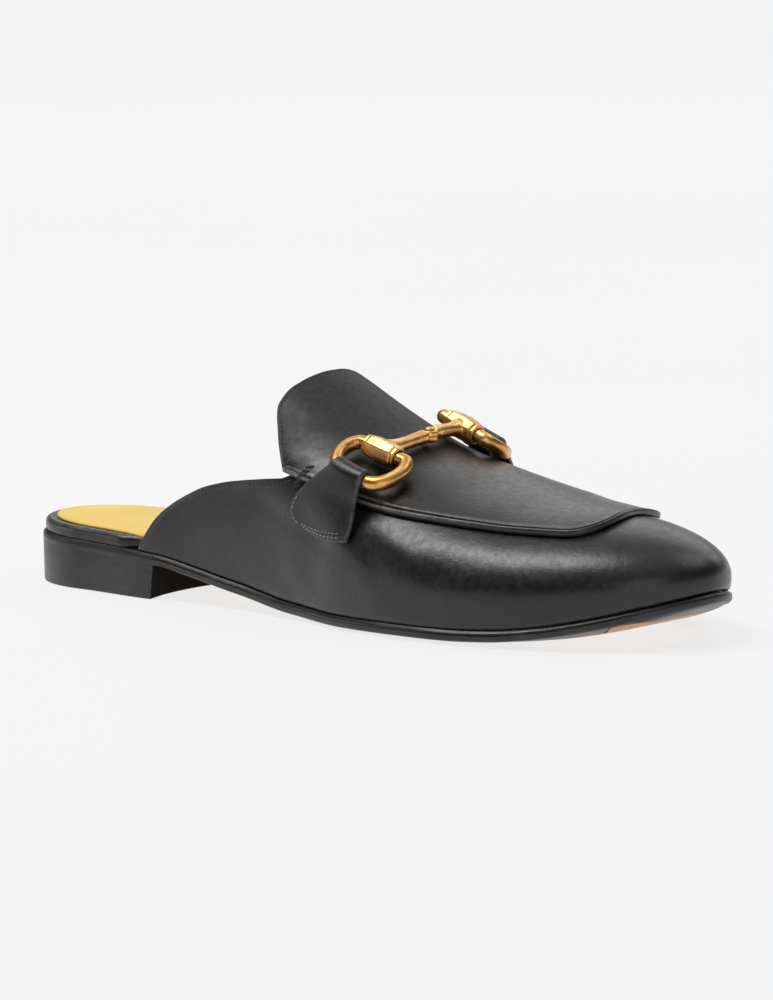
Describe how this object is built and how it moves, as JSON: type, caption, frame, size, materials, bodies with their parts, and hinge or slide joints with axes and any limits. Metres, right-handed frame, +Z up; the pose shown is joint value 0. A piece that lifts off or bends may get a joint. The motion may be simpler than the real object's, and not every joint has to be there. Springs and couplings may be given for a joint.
{
  "type": "backless loafer",
  "caption": "Backless bit loafer for the right foot: smooth black leather upper with a raised apron and tall tongue, straps holding a brass snaffle bit, yellow sock lining and low heel.",
  "frame": {"origin": "middle of the shoe's bounding box in plan, on the ground plane", "axes": "+X from heel to toe, +Y to the medial (inner) side of this right shoe, +Z up"},
  "size_m": [0.287, 0.0958, 0.0765],
  "materials": {
    "black_calf": "smooth, soft sheen",
    "black_edge": "painted and polished stacked leather",
    "natural_sole": "natural sole leather with a black painted edge",
    "yellow_sock": "matt",
    "antique_brass": "satin, aged"
  },
  "bodies": {
    "root": {"outsole": "natural_sole", "heel": "black_edge", "insole_board": "black_calf", "sock_lining": "yellow_sock", "upper": "black_calf", "apron_tongue": "black_calf", "tab_lateral": "black_calf", "tab_medial": "black_calf", "bit_ring_lateral": "antique_brass", "bit_ring_medial": "antique_brass", "bit_bar_lateral": "antique_brass", "bit_bar_medial": "antique_brass"}
  },
  "joints": []
}
